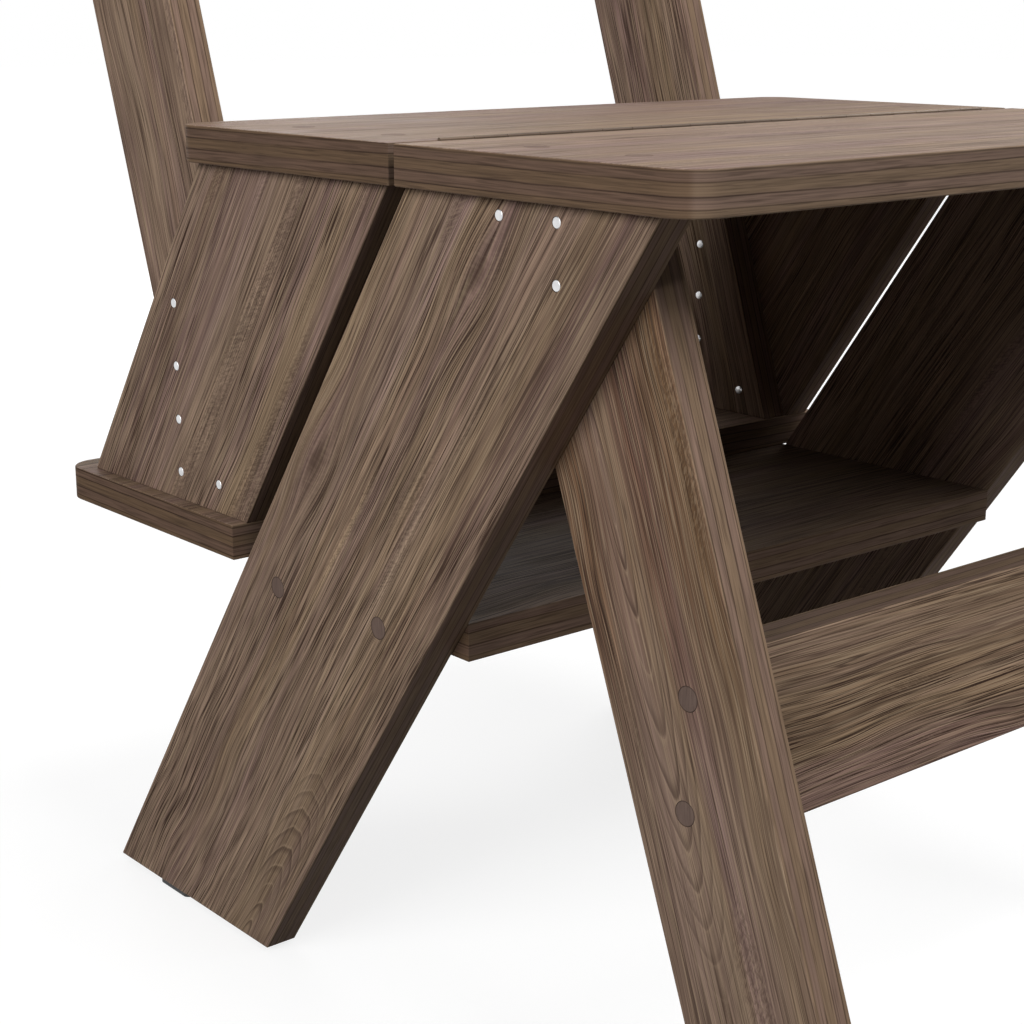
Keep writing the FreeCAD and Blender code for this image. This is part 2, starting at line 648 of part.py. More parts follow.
def rail_centre(top):
    """Centre of a rail, halfway through the posts, as depth and level."""
    level = f"({top} - {rail_run} / 2)"
    return f"({post_front(level)} + {POST_LEVEL_WIDTH} / 2)", level


def beside_rail_centre(top, along, across):
    """Place at distances up the posts' slope and square to it, from a rail's centre."""
    depth, level = rail_centre(top)
    return (
        f"({depth} + {along} * sin({POST_SLANT}) + {across} * cos({POST_SLANT}))",
        f"({level} + {along} * cos({POST_SLANT}) - {across} * sin({POST_SLANT}))",
    )


RAIL_SCREW_SHARES = (-0.3, 0.3)


def rail_screw_places(top):
    return [beside_rail_centre(top, f"{share} * sizes.rail_height", "0") for share in RAIL_SCREW_SHARES]


rail_places = [place for top in rail_tops.values() for place in rail_screw_places(top)]
post_corners = [
    (post_front(TOP_STEP_TOP), TOP_STEP_TOP),
    (post_rear(TOP_STEP_TOP), TOP_STEP_TOP),
    (post_rear(POST_TOP), POST_TOP),
    (post_front(POST_TOP), POST_TOP),
]
for side, sign in SIDES.items():
    post = side_board(f"{side}_back_post", sign, INNER_IN, post_corners)
    outer_face = sided(sign, FRAME_IN)
    drill(post, "YZ_Plane", outer_face, post_pin_places, PIN_HOLE, BOARD, sign < 0)
    drill_for_plug(post, "YZ_Plane", outer_face, rail_places, sign < 0)
side_pins("post_pins", post_pin_places)

# Back rails between the posts, leaning with them
half_rail = "(sizes.rail_height / 2)"
half_board = f"({BOARD} / 2)"
for rail_name, top in rail_tops.items():
    rail = cross_board(f"{rail_name}_back_rail", [
        beside_rail_centre(top, f"-{half_rail}", f"-{half_board}"),
        beside_rail_centre(top, f"-{half_rail}", half_board),
        beside_rail_centre(top, half_rail, half_board),
        beside_rail_centre(top, half_rail, f"-{half_board}"),
    ])
    for sign in SIDES.values():
        drill(rail, "YZ_Plane", sided(sign, INNER_IN), rail_screw_places(top),
              PILOT_HOLE, PILOT_DEPTH, sign < 0)
plugged_screws(
    "back_rail", "YZ_Plane",
    {side: sided(sign, FRAME_IN) for side, sign in SIDES.items()},
    {side: rail_places for side in SIDES},
    {side: -sign for side, sign in SIDES.items()})

# Glides under the four feet
half_glide = "(sizes.glide_length / 2)"
rear_glide_centre = f"({leg_rear(FOOT)} - sizes.rear_glide_inset - {half_glide})"
front_glide_centre = f"({front_leg_rear(FOOT)} - sizes.front_leg_foot_width / 2)"
glide_places = {"rear": (rear_glide_centre, FRAME_MIDDLE), "front": (front_glide_centre, INNER_MIDDLE)}
for side, sign in SIDES.items():
    for end, (centre, line) in glide_places.items():
        glide = new_body(f"{side}_{end}_glide")
        left = f"({sided(sign, line)} - sizes.glide_width / 2)"
        right = f"({sided(sign, line)} + sizes.glide_width / 2)"
        front = f"({centre} - {half_glide})"
        rear = f"({centre} + {half_glide})"
        sketch = new_sketch(glide, "XY_Plane", "0")
        draw_polygon(sketch, [(left, front), (right, front), (right, rear), (left, rear)])
        pad(glide, sketch, FOOT)
        round_edges(glide, "sizes.glide_corner_radius", is_upright)

# Every object has to be sound before anything is written
doc.recompute()
faults = [item.Label for item in doc.Objects if "Invalid" in item.State or "Error" in item.State]
bodies = [item for item in doc.Objects if item.TypeId == "PartDesign::Body"]
faults += [body.Label for body in bodies if body.Shape.isNull() or not body.Shape.isValid()]
if faults:
    raise ValueError(f"unsound: {faults}")
os.makedirs("parts", exist_ok=True)
for body in bodies:
    body.Shape.exportStep(f"parts/{body.Label}.step")
    print(body.Label, len(body.Shape.Solids), round(body.Shape.Volume))
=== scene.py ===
import math

import bmesh
import bpy
from mathutils import Matrix, Vector


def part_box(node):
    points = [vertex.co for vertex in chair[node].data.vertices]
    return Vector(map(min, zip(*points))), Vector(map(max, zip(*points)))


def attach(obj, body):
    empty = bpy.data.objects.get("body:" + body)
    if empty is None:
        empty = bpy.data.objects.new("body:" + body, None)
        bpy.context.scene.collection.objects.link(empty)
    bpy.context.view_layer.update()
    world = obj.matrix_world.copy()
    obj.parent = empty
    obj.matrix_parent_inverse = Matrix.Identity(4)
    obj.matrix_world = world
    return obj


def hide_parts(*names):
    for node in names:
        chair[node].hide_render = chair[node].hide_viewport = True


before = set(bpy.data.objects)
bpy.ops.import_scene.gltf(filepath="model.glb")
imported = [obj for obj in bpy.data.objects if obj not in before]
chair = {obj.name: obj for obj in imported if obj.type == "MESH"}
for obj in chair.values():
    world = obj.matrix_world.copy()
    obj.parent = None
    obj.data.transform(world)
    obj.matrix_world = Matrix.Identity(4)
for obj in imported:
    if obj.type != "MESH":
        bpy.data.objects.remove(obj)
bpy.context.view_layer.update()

# Slanted legs: two wide solid boards that run from under the seat down to the rear feet.
# Flat-sawn brown hardwood, planed and oiled; the heart of the log lies near one edge of the near leg.
# They carry the low step between them, and the front legs stand against their inner faces.


def grow(tree, kind, inputs=(), **settings):
    """Adds a node to a tree, sets it up, and fills or links its inputs."""
    node = tree.nodes.new(kind)
    for name, value in settings.items():
        setattr(node, name, value)
    for key, value in dict(inputs).items():
        if isinstance(value, bpy.types.NodeSocket):
            tree.links.new(value, node.inputs[key])
        else:
            node.inputs[key].default_value = value
    return node


def calc(tree, operation, *values, clamp=False):
    """One step of arithmetic on numbers."""
    node = grow(tree, "ShaderNodeMath", dict(enumerate(values)), operation=operation, use_clamp=clamp)
    return node.outputs[0]


def times(tree, first, *others):
    """Product of numbers."""
    for other in others:
        first = calc(tree, "MULTIPLY", first, other)
    return first


def swing(tree, noise, reach, middle):
    """A noise, which lies about one half, as a swing about another middle."""
    return calc(tree, "MULTIPLY_ADD", calc(tree, "SUBTRACT", noise, 0.5), reach, middle)


def ease(tree, value, low, high, start=0.0, end=1.0):
    """Smooth step of a number from one range to another."""
    node = grow(tree, "ShaderNodeMapRange", {0: value, 1: low, 2: high, 3: start, 4: end},
                interpolation_type="SMOOTHSTEP")
    return node.outputs[0]


def fade(tree, value, low, high, start=1.0):
    """Smooth fall to nothing."""
    return ease(tree, value, low, high, start, 0.0)


def move(tree, operation, *values):
    """One step of arithmetic on places."""
    return grow(tree, "ShaderNodeVectorMath", dict(enumerate(values)), operation=operation).outputs[0]


def spot_at(tree, *coordinates):
    """A place from its three coordinates."""
    return grow(tree, "ShaderNodeCombineXYZ", dict(enumerate(coordinates))).outputs[0]


def coordinates_of(tree, place):
    """The three coordinates of a place."""
    return grow(tree, "ShaderNodeSeparateXYZ", {0: place}).outputs


def streaks(tree, place, along, across, detail=2.0, shift=(0.0, 0.0, 0.0), rough=0.55, output="Fac"):
    """Noise drawn out along the grain: how often it changes per metre along and across the fibres."""
    spread = move(tree, "MULTIPLY_ADD", place, (along, across, across), shift)
    return grow(tree, "ShaderNodeTexNoise", {"Vector": spread, "Scale": 1.0, "Detail": detail,
                                             "Roughness": rough}, noise_dimensions="3D").outputs[output]


def swayed(tree, place, noise, reach):
    """Moves a place sideways, across the grain, by a noise."""
    middled = move(tree, "SUBTRACT", noise, (0.5, 0.5, 0.5))
    return move(tree, "MULTIPLY_ADD", middled, (0.0, reach, 0.0), place)


def blend(tree, share, first, second, kind="MIX"):
    """Blends two colours by a share."""
    node = grow(tree, "ShaderNodeMix", {0: share, 6: first, 7: second}, data_type="RGBA", blend_type=kind)
    return node.outputs[2]


def shaded(tree, tone, amount):
    """A colour made darker or lighter by a number."""
    grey = grow(tree, "ShaderNodeCombineColor", {0: amount, 1: amount, 2: amount}).outputs[0]
    return blend(tree, 1.0, tone, grey, "MULTIPLY")


def tinted(tree, tone, share, tint):
    """A colour with a share of it tinted."""
    return blend(tree, share, tone, blend(tree, 1.0, tone, tint, "MULTIPLY"))


def stops(tree, value, *shades):
    """Colour of a number on a row of colours, each with its place from 0 to 1."""
    node = grow(tree, "ShaderNodeValToRGB", {0: value})
    row = node.color_ramp.elements
    while len(row) < len(shades):
        row.new(0.5)
    for stop, (spot, shade) in zip(row, shades):
        stop.position = spot
        stop.color = shade
    return node.outputs[0]


def colour(red, green, blue):
    """Display colour, 0 to 255, as a linear one."""
    def linear(part):
        part = part / 255
        return part / 12.92 if part <= 0.04045 else ((part + 0.055) / 1.055) ** 2.4
    return (linear(red), linear(green), linear(blue), 1.0)


# painted sheen: the pale colour of the silky strokes and of the glints on rings and curly patches
painted_sheen_colour = colour(168, 146, 121)
dark_vein = colour(66, 50, 43)


def wandering_fibres(tree, log_place):
    """Place among the fibres, which sway, swirl and ripple along the board."""
    long_sway, least_swirl, most_swirl, ripple_reach = 0.012, 0.001, 0.015, 0.0006
    wave = streaks(tree, log_place, 1.6, 9.0, detail=1.0, output="Color")
    flow = swayed(tree, log_place, wave, long_sway)
    swirly = streaks(tree, log_place, 4.0, 15.0, detail=1.0, shift=(8.0, 1.0, 2.0))
    swirl_reach = ease(tree, swirly, 0.46, 0.64, least_swirl, most_swirl)
    bend = streaks(tree, log_place, 10.0, 15.0, detail=0.5, shift=(2.0, 5.0, 1.0))
    bend = times(tree, calc(tree, "SUBTRACT", bend, 0.5), swirl_reach)
    flow = move(tree, "ADD", flow, spot_at(tree, 0.0, bend, 0.0))
    ripple = streaks(tree, log_place, 20.0, 60.0, detail=1.0, shift=(5.0, 2.0, 7.0), output="Color")
    return swayed(tree, flow, ripple, ripple_reach)


def parted_by_knots(tree, log_place, flow):
    """Fibres parted round small pin knots, with how near a knot is and the dark of its eye."""
    knots_per_metre, share_without_knot, knot_pull = (5.0, 13.0, 13.0), 0.5, -0.05
    knot_place = move(tree, "MULTIPLY", log_place, knots_per_metre)
    cell = grow(tree, "ShaderNodeTexVoronoi", {"Vector": knot_place, "Scale": 1.0}, feature="F1").outputs
    pick = grow(tree, "ShaderNodeSeparateColor", {0: cell["Color"]}).outputs[0]
    knotty = calc(tree, "GREATER_THAN", pick, share_without_knot)
    near_knot = times(tree, fade(tree, cell["Distance"], 0.0, 0.32), knotty)
    knot_eye = times(tree, knotty, fade(tree, cell["Distance"], 0.02, 0.07, 0.5))
    from_knot = move(tree, "SUBTRACT", knot_place, cell["Position"])
    parting = move(tree, "MULTIPLY", from_knot, (0.0, knot_pull, 0.0))
    parting = grow(tree, "ShaderNodeVectorMath", {0: parting, "Scale": near_knot},
                   operation="SCALE").outputs[0]
    return move(tree, "ADD", flow, parting), near_knot, knot_eye


def growth_rings(tree, given, log_place, flow, inside):
    """Dark lines and pale glints of the rings round the heart of the log, and the zone that shows them.

    The heart drifts away from the face along the board."""
    rings_per_metre, unevenness, face_bow = 400.0, 2.6, 0.02
    drift = calc(tree, "MULTIPLY_ADD", inside[0], given["Heart Drift"], given["Heart Depth"])
    bow = streaks(tree, log_place, 5.0, 3.0, detail=0.0, shift=(3.0, 1.0, 6.0))
    beside = calc(tree, "SUBTRACT", inside[1], given["Heart Across"])
    above = swing(tree, bow, face_bow, calc(tree, "ADD", inside[2], drift))
    radius = calc(tree, "SQRT", calc(tree, "ADD", times(tree, beside, beside), times(tree, above, above)))
    uneven = streaks(tree, flow, 3.0, 40.0, shift=(7.0, 3.0, 1.0))
    count = calc(tree, "MULTIPLY_ADD", radius, rings_per_metre, times(tree, uneven, unevenness))
    share = calc(tree, "FRACT", count)
    own = grow(tree, "ShaderNodeTexWhiteNoise", {"W": calc(tree, "FLOOR", count)},
               noise_dimensions="1D").outputs[0]
    line = times(tree, ease(tree, share, 0.55, 0.9), fade(tree, share, 0.92, 1.0))
    line = times(tree, line, ease(tree, own, 0.0, 0.9, 0.1, 1.0))
    glint = fade(tree, share, 0.02, 0.16)
    heart_zone = times(tree, fade(tree, calc(tree, "ABSOLUTE", beside), 0.008, 0.02),
                       fade(tree, calc(tree, "ABSOLUTE", above), 0.014, 0.032))
    return line, glint, heart_zone


def ground_wood(tree, given, flow, inside, fibre, lively):
    """Ground colour: broad zones and strands set how light the wood is, and fine fibres run through them."""
    strand_swing, zone_swing, fibre_depth = 1.2, 0.7, 2.8
    mauve_tint, olive_tint = (0.98, 0.92, 1.1, 1.0), (1.04, 1.05, 0.86, 1.0)
    rust_and_shade_tint = (0.72, 0.6, 0.48, 1.0)
    strand = streaks(tree, flow, 6.0, 420.0, shift=(3.0, 6.0, 2.0))
    zone = streaks(tree, flow, 1.3, 26.0, detail=1.0, shift=(8.0, 2.0, 5.0))
    tone = swing(tree, zone, zone_swing, swing(tree, strand, strand_swing, 0.5))
    wood = stops(tree, tone, (0.1, colour(102, 83, 74)), (0.5, colour(135, 114, 99)),
                 (0.9, colour(162, 140, 121)))
    depth = times(tree, calc(tree, "SUBTRACT", fibre, 0.5), lively)
    wood = shaded(tree, wood, calc(tree, "MULTIPLY_ADD", depth, fibre_depth, 1.0))
    mauve = ease(tree, streaks(tree, flow, 1.6, 42.0, shift=(1.0, 8.0, 2.0)), 0.44, 0.64, end=0.8)
    wood = tinted(tree, wood, mauve, mauve_tint)
    olive = ease(tree, streaks(tree, flow, 1.4, 52.0, shift=(9.0, 3.0, 4.0)), 0.48, 0.66, end=0.6)
    wood = tinted(tree, wood, olive, olive_tint)
    # rust-brown streaks, partly painted shade: the tint darkens as well as warms, most strongly at the near
    # front leg's top beside the slanted leg
    rust_and_shade_streaks = ease(tree, streaks(tree, flow, 2.2, 64.0, detail=3.0, shift=(5.0, 1.0, 6.0)), 0.2, 0.5)
    rust_and_shade_here = ease(tree, inside[0], given["Rust and Shade Start"], given["Rust and Shade End"], 1.0, 0.15)
    return tinted(tree, wood, times(tree, rust_and_shade_streaks, given["Rust and Shade"], rust_and_shade_here), rust_and_shade_tint)


def fine_strokes(tree, wood, flow, lively, curl):
    """Wood with dark hair-fine strokes, pale strokes of painted sheen and a few long veins, and the hollows
    they leave.
    """
    straight = calc(tree, "MULTIPLY_ADD", curl, -0.7, 1.0)
    hair = streaks(tree, flow, 18.0, 1500.0, detail=1.0, shift=(9.0, 4.0, 3.0))
    hair = times(tree, ease(tree, hair, 0.53, 0.63, end=0.9), lively)
    hair = calc(tree, "MULTIPLY", hair, straight, clamp=True)
    wood = blend(tree, hair, wood, colour(64, 48, 40))
    # painted sheen: pale strokes among the dark ones
    painted_sheen_strokes = streaks(tree, flow, 18.0, 1600.0, detail=1.0, shift=(7.0, 3.0, 6.0))
    painted_sheen_strokes = times(tree, ease(tree, painted_sheen_strokes, 0.55, 0.66, end=0.6), straight)
    wood = blend(tree, painted_sheen_strokes, wood, painted_sheen_colour)
    vein = streaks(tree, flow, 4.5, 230.0, detail=1.5, shift=(2.0, 9.0, 4.0))
    vein = fade(tree, calc(tree, "ABSOLUTE", calc(tree, "SUBTRACT", vein, 0.5)), 0.003, 0.022)
    veined_zone = streaks(tree, flow, 4.5, 34.0, detail=1.0, shift=(5.0, 5.0, 8.0))
    vein = times(tree, vein, ease(tree, veined_zone, 0.46, 0.64, end=0.7))
    wood = blend(tree, vein, wood, dark_vein)
    return wood, calc(tree, "ADD", hair, times(tree, vein, 0.5))


def curly_patches(tree, wood, flow, curl):
    """Wood with patches where short strokes cross like a herringbone."""
    strokes = []
    for slant, shift in ((0.62, (1.0, 4.0, 2.0)), (-0.5, (6.0, 2.0, 8.0))):
        slanted = grow(tree, "ShaderNodeVectorRotate", {"Vector": flow, "Angle": slant},
                       rotation_type="Z_AXIS").outputs[0]
        strokes.append(streaks(tree, slanted, 240.0, 1100.0, detail=1.0, shift=shift))
    crossed = calc(tree, "MAXIMUM", *(ease(tree, stroke, 0.53, 0.64) for stroke in strokes))
    wood = blend(tree, times(tree, crossed, curl, 0.38), wood, colour(74, 58, 48))
    glint = times(tree, fade(tree, strokes[0], 0.36, 0.46, 0.25), curl)
    return blend(tree, glint, wood, painted_sheen_colour)


def edge_layers(tree, given, place, on_end):
    """Narrow faces and ends, where the layers of the log are long bands between dark lines, and the lines."""
    tan, pink, end_tint = colour(125, 104, 85), colour(125, 103, 90), (0.76, 0.71, 0.66, 1.0)
    dark_lines = ((0.0, 0.03, 0.06, 1.0), (0.24, 0.27, 0.29, 1.0), (0.42, 0.43, 0.44, 0.35),
                  (0.54, 0.575, 0.6, 1.0), (0.7, 0.71, 0.72, 0.3), (0.815, 0.845, 0.86, 1.0))
    number = given["Board Number"]
    spot = coordinates_of(tree, place)
    run = calc(tree, "ADD", calc(tree, "ADD", spot[0], spot[1]), times(tree, number, 2.3))
    layer = spot_at(tree, run, spot[2], number)
    sway = calc(tree, "MULTIPLY_ADD", streaks(tree, layer, 3.2, 20.0, detail=1.0), 0.26, -0.13)
    sway = calc(tree, "MULTIPLY_ADD", streaks(tree, layer, 34.0, 260.0, shift=(4.0, 1.0, 1.0)), 0.05, sway)
    level = calc(tree, "DIVIDE", spot[2], times(tree, given["Half Thickness"], -2.0))
    level = calc(tree, "ADD", calc(tree, "ADD", level, 0.46), sway)
    bands = stops(tree, level, (0.02, tan), (0.08, pink), (0.22, pink), (0.3, tan), (0.52, tan), (0.6, pink),
                  (0.78, pink), (0.86, tan))
    marks = []
    for begin, middle, end, strength in dark_lines:
        marks += [(begin, 0.0), (middle, strength), (end, 0.0)]
    lines = stops(tree, level, *((spot, (strength, strength, strength, 1.0)) for spot, strength in marks))
    line_depth = ease(tree, streaks(tree, layer, 9.0, 60.0, shift=(3.0, 8.0, 2.0)), 0.3, 0.65, 0.4, 1.0)
    line_share = times(tree, grow(tree, "ShaderNodeSeparateColor", {0: lines}).outputs[0], line_depth)
    thread = streaks(tree, layer, 26.0, 900.0, shift=(1.0, 2.0, 5.0), rough=0.6)
    bands = shaded(tree, bands, swing(tree, thread, 1.3, 1.0))
    nick = streaks(tree, layer, 34.0, 900.0, detail=1.0, shift=(6.0, 3.0, 1.0))
    bands = blend(tree, ease(tree, nick, 0.55, 0.67, end=0.45), bands, colour(76, 60, 50))
    bands = blend(tree, line_share, bands, colour(54, 40, 33))
    bands = tinted(tree, bands, on_end, end_tint)
    # painted light and shade: a factor given for each board makes its narrow faces darker or lighter
    return shaded(tree, bands, given["Edge Painted Light"]), line_share


def rubbed_and_highlit_arrises(tree, given, place, log_place):
    """Share of the wood along the arrises that is made pale: partly wear from handling, partly a painted
    highlight on the arris.
    """
    sides = coordinates_of(tree, move(tree, "ABSOLUTE", place))
    to_arris = calc(tree, "MAXIMUM", calc(tree, "SUBTRACT", given["Half Width"], sides[1]),
                    calc(tree, "SUBTRACT", given["Half Thickness"], sides[2]))
    in_patches = ease(tree, streaks(tree, log_place, 22.0, 22.0), 0.42, 0.7, 0.05, 0.45)
    return times(tree, fade(tree, to_arris, 0.0003, 0.0016), in_patches)


def sawn_board_pattern():
    """Colour, roughness and fibre height of a sawn board, from a place along, across and through it."""
    tree = bpy.data.node_groups.new("sawn_board", "ShaderNodeTree")
    for name in ("Place", "Facing"):
        tree.interface.new_socket(name, in_out="INPUT", socket_type="NodeSocketVector")
    for name in ("Half Width", "Half Thickness", "Heart Across", "Heart Depth", "Heart Drift", "Board Number",
                 "Rust and Shade", "Rust and Shade Start", "Rust and Shade End", "Tone and Painted Light", "Edge Painted Light", "Liveliness"):
        tree.interface.new_socket(name, in_out="INPUT", socket_type="NodeSocketFloat")
    for name, kind in (("Colour", "NodeSocketColor"), ("Roughness", "NodeSocketFloat"),
                       ("Height", "NodeSocketFloat")):
        tree.interface.new_socket(name, in_out="OUTPUT", socket_type=kind)
    given = grow(tree, "NodeGroupInput").outputs
    place = given["Place"]

    # each board is cut from its own stretch of the log, and its fibres run round the knots there
    log_steps = (3.17, 1.31, 2.23)
    own_stretch = spot_at(tree, *(times(tree, given["Board Number"], step) for step in log_steps))
    log_place = move(tree, "ADD", place, own_stretch)
    flow = wandering_fibres(tree, log_place)
    flow, near_knot, knot_eye = parted_by_knots(tree, log_place, flow)
    inside = coordinates_of(tree, move(tree, "SUBTRACT", flow, own_stretch))
    ring_line, ring_glint, heart_zone = growth_rings(tree, given, log_place, flow, inside)

    # the figure is lively in some patches, calm in others and near the heart, and curly here and there
    lively = streaks(tree, log_place, 4.0, 24.0, detail=1.0, shift=(6.0, 1.0, 3.0))
    lively = ease(tree, lively, 0.35, 0.62, 0.6, 1.15)
    lively = times(tree, lively, calc(tree, "MULTIPLY_ADD", heart_zone, -0.5, 1.0), given["Liveliness"])
    curl = ease(tree, streaks(tree, log_place, 5.0, 46.0, detail=1.0, shift=(4.0, 0.0, 9.0)), 0.63, 0.72)
    curl = calc(tree, "MAXIMUM", curl, times(tree, near_knot, 0.4))

    # broad faces: ground colour, strokes, curly patches, rings and knots, one over the other
    fibre = streaks(tree, flow, 18.0, 1600.0, rough=0.6)
    wood = ground_wood(tree, given, flow, inside, fibre, lively)
    wood, hollows = fine_strokes(tree, wood, flow, lively, curl)
    wood = curly_patches(tree, wood, flow, curl)
    wood = blend(tree, times(tree, heart_zone, 0.15), wood, colour(128, 107, 92))
    wood = blend(tree, times(tree, ring_line, times(tree, heart_zone, 0.6)), wood, dark_vein)
    wood = blend(tree, times(tree, ring_glint, times(tree, heart_zone, 0.35)), wood, painted_sheen_colour)
    wood = blend(tree, knot_eye, wood, colour(62, 46, 38))

    # narrow faces, arrises made pale partly by wear and partly by a painted highlight, and the faint clouds
    # that the oil leaves
    facing = coordinates_of(tree, move(tree, "ABSOLUTE", given["Facing"]))
    on_edge = fade(tree, facing[2], 0.6, 0.8)
    bands, line_share = edge_layers(tree, given, place, ease(tree, facing[0], 0.6, 0.8))
    wood = blend(tree, on_edge, wood, bands)
    worn_and_highlit = rubbed_and_highlit_arrises(tree, given, place, log_place)
    # painted highlight, partly wear: pale colour along the arrises
    wood = blend(tree, worn_and_highlit, wood, colour(156, 133, 112))
    cloud = streaks(tree, log_place, 14.0, 14.0, detail=3.0, shift=(3.0, 3.0, 3.0))
    # the whole colour is scaled by the board's own tone and, on some boards, by painted light and shade
    wood = shaded(tree, wood, times(tree, swing(tree, cloud, 0.3, 1.0), given["Tone and Painted Light"]))

    # strokes and layer lines lie a little lower and duller than the fibres
    dents = times(tree, hollows, calc(tree, "SUBTRACT", 1.0, on_edge))
    dents = calc(tree, "ADD", dents, times(tree, line_share, on_edge, 0.6))
    rough = swing(tree, fibre, -0.4, 0.64)
    rough = calc(tree, "MULTIPLY_ADD", dents, 0.2, rough)
    rough = swing(tree, cloud, 0.25, rough)
    rough = calc(tree, "MULTIPLY_ADD", worn_and_highlit, -0.1, rough, clamp=True)
    height = calc(tree, "SUBTRACT", times(tree, fibre, 0.6), dents)
    grow(tree, "NodeGroupOutput", {"Colour": wood, "Roughness": rough, "Height": height})
    return tree


def new_finish(name):
    """A new material and its tree."""
    material = bpy.data.materials.new(name)
    material.use_nodes = True
    return material, material.node_tree


def coat(tree, tone, rough, relief, strength, depth, gloss=0.5, metallic=0.0):
    """Leads colour, roughness and fine relief to a surface, and sets its gloss."""
    shader = tree.nodes["Principled BSDF"]
    shader.inputs["Specular IOR Level"].default_value = gloss
    shader.inputs["Metallic"].default_value = metallic
    bump = grow(tree, "ShaderNodeBump", {"Strength": strength, "Distance": depth, "Height": relief})
    for name, value in (("Base Color", tone), ("Roughness", rough), ("Normal", bump.outputs[0])):
        tree.links.new(value, shader.inputs[name])


def put_on(node, material):
    """Gives a piece its finish."""
    chair[node].data.materials.clear()
    chair[node].data.materials.append(material)


board_pattern = sawn_board_pattern()
past_the_end = (2.0, 3.0)
oil_gloss = 0.04


def board_wood(name, along, across, heart, number, rust_and_shade_share=0.2, rust_and_shade_run=past_the_end, depth=1.0, edge=1.0,
               lively=1.0, gloss=oil_gloss):
    """Oiled wood for one board, with the grain along the board, and puts it on the board.

    The heart of the log is given by its place across the board, its depth and its drift."""
    # the rust tint is partly painted shade; depth scales the whole colour by the board's own tone and, on
    # some boards, by painted light and shade; edge scales the narrow faces by painted light and shade
    fibre_relief, relief_depth = 0.4, 0.00015
    low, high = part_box(name)
    middle = (low + high) / 2
    along = Vector(along).normalized()
    across = Vector(across).normalized()
    through = along.cross(across)
    corners = [vertex.co - middle for vertex in chair[name].data.vertices]
    turn = Matrix((along, across, through)).transposed().to_euler()
    material, tree = new_finish(f"{name}_wood")
    seen = grow(tree, "ShaderNodeTexCoord").outputs
    place = grow(tree, "ShaderNodeMapping", {"Vector": seen["Object"], "Location": middle, "Rotation": turn},
                 vector_type="TEXTURE")
    facing = grow(tree, "ShaderNodeMapping", {"Vector": seen["Normal"], "Rotation": turn},
                  vector_type="TEXTURE")
    pattern = grow(tree, "ShaderNodeGroup", {
        "Place": place.outputs[0], "Facing": facing.outputs[0],
        "Half Width": max(corner.dot(across) for corner in corners),
        "Half Thickness": max(corner.dot(through) for corner in corners),
        "Heart Across": heart[0], "Heart Depth": heart[1], "Heart Drift": heart[2], "Board Number": number,
        "Rust and Shade": rust_and_shade_share, "Rust and Shade Start": rust_and_shade_run[0], "Rust and Shade End": rust_and_shade_run[1], "Tone and Painted Light": depth,
        "Edge Painted Light": edge, "Liveliness": lively}, node_tree=board_pattern).outputs
    coat(tree, pattern["Colour"], pattern["Roughness"], pattern["Height"], fibre_relief, relief_depth, gloss)
    put_on(name, material)


leg_slant = math.radians(35.0)
down_the_leg = (0.0, math.sin(leg_slant), -math.cos(leg_slant))
across_the_leg = (0.0, -math.cos(leg_slant), -math.sin(leg_slant))
board_wood("left_slanted_leg", down_the_leg, across_the_leg, heart=(0.048, 0.0275, -0.15), number=1.0)
board_wood("right_slanted_leg", down_the_leg, across_the_leg, heart=(-0.05, 0.045, 0.12), number=2.0)

# Front legs: narrower boards that taper towards the foot, pinned flat against the slanted legs' inner faces.
# The same oiled hardwood; the near one has rust-brown streaks at its top, darkened further there by painted
# shade beside the slanted leg, and was cut beside the heart.
front_slant = math.radians(20.1)
down_the_front_leg = (0.0, -math.sin(front_slant), -math.cos(front_slant))
across_the_front_leg = (0.0, -math.cos(front_slant), math.sin(front_slant))
board_wood("left_front_leg", down_the_front_leg, across_the_front_leg, heart=(-0.011, 0.0057, 0.12),
           number=4.0, rust_and_shade_share=1.0, rust_and_shade_run=(-0.09, 0.05))
board_wood("right_front_leg", down_the_front_leg, across_the_front_leg, heart=(-0.02, 0.06, -0.05),
           number=5.0)

# Leg pins: bright steel pins, turned from bar, with a chamfer outside and a domed inner end.
# They are driven through each slanted leg and the front leg beside it, flush with the outer face.


def loose_boxes(node):
    """Lowest and highest corner of each loose solid of a piece, in a fixed order."""
    same_place = 1e-6
    shell = bmesh.new()
    shell.from_mesh(chair[node].data)
    bmesh.ops.remove_doubles(shell, verts=shell.verts, dist=same_place)
    left = set(shell.verts)
    found = []
    while left:
        corner = left.pop()
        waiting = [corner]
        low, high = corner.co.copy(), corner.co.copy()
        while waiting:
            corner = waiting.pop()
            for i in range(3):
                low[i] = min(low[i], corner.co[i])
                high[i] = max(high[i], corner.co[i])
            for edge in corner.link_edges:
                other = edge.other_vert(corner)
                if other in left:
                    left.remove(other)
                    waiting.append(other)
        found.append((low, high))
    shell.free()
    return sorted(found, key=lambda pair: tuple(round(part, 5) for part in pair[0]))


